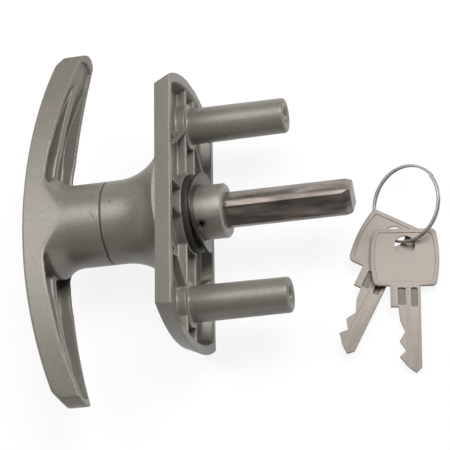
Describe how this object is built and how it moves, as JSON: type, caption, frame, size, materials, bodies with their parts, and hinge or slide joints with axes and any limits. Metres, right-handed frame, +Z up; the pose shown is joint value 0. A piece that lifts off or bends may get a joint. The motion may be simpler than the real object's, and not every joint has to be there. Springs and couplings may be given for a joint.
{
  "type": "garage door t handle lock",
  "caption": "T-shaped garage door handle lock with a ribbed backplate, tapped fixing pillars, square drive spindle, keyed cylinder and a split ring of keys.",
  "frame": {"origin": "centre of the backplate's door face, on the spindle's axis", "axes": "+Y along the spindle into the garage, +X along the backplate's length, +Z up"},
  "size_m": [0.119, 0.1317, 0.0506],
  "materials": {
    "satin_zinc": "satin",
    "bare_steel": "turned",
    "dark_steel": "oiled",
    "black_washer": "matt",
    "nickel": "nickel plate",
    "brass": "machined"
  },
  "bodies": {
    "base": {"backplate": "satin_zinc", "bearing_washer": "black_washer", "seam_washer": "black_washer"},
    "handle": {"t_handle": "satin_zinc", "drive_shank": "bare_steel", "spindle": "dark_steel", "roll_pin": "dark_steel", "retaining_ring": "dark_steel", "lock_bezel": "nickel", "cylinder_shell": "brass", "grub_screw": "dark_steel"},
    "plug": {"lock_plug": "brass", "plug_clip": "dark_steel", "tail_cam": "dark_steel", "wafer_springs": "bare_steel"},
    "dog": {"locking_dog": "bare_steel"},
    "ring": {"key_ring": "bare_steel"},
    "front_key": {"key_front": "nickel"},
    "back_key": {"key_back": "nickel"},
    "wafer_1_body": {"wafer_1": "brass"},
    "wafer_2_body": {"wafer_2": "brass"},
    "wafer_3_body": {"wafer_3": "brass"},
    "wafer_4_body": {"wafer_4": "brass"},
    "wafer_5_body": {"wafer_5": "brass"}
  },
  "joints": [
    {"name": "handle_turn", "type": "hinge", "parent": "base", "child": "handle", "pos_m": [0, 0, 0], "axis": [0, 1, 0], "range_deg": [-90, 90]},
    {"name": "plug_turn", "type": "hinge", "parent": "handle", "child": "plug", "pos_m": [0, -0.04, 0], "axis": [0, 1, 0], "range_deg": [0, 90]},
    {"name": "dog_slide", "type": "slide", "parent": "handle", "child": "dog", "axis": [1, 0, 0], "range_m": [0, 0.0022]},
    {"name": "key_ring_lift", "type": "slide", "parent": "base", "child": "ring", "axis": [0, 0.6, 0.8], "range_m": [0, 0.06]},
    {"name": "key_front_swing", "type": "hinge", "parent": "ring", "child": "front_key", "pos_m": [0.01082, 0.06349, -0.02004], "axis": [0.0685, 0.1908, 0.9792], "range_deg": [-30, 5]},
    {"name": "key_back_swing", "type": "hinge", "parent": "ring", "child": "back_key", "pos_m": [0.00666, 0.06009, -0.02171], "axis": [0.0685, 0.1908, 0.9792], "range_deg": [-20, 20]},
    {"name": "wafer_1_slide", "type": "slide", "parent": "plug", "child": "wafer_1_body", "axis": [0, 0, 1], "range_m": [0, 0.0009]},
    {"name": "wafer_2_slide", "type": "slide", "parent": "plug", "child": "wafer_2_body", "axis": [0, 0, 1], "range_m": [0, 0.0009]},
    {"name": "wafer_3_slide", "type": "slide", "parent": "plug", "child": "wafer_3_body", "axis": [0, 0, 1], "range_m": [0, 0.0009]},
    {"name": "wafer_4_slide", "type": "slide", "parent": "plug", "child": "wafer_4_body", "axis": [0, 0, 1], "range_m": [0, 0.0009]},
    {"name": "wafer_5_slide", "type": "slide", "parent": "plug", "child": "wafer_5_body", "axis": [0, 0, 1], "range_m": [0, 0.0009]}
  ],
  "couplings": [
    {"joint": "dog_slide", "follows": "plug_turn", "m_per_rad": 0.0014006}
  ]
}
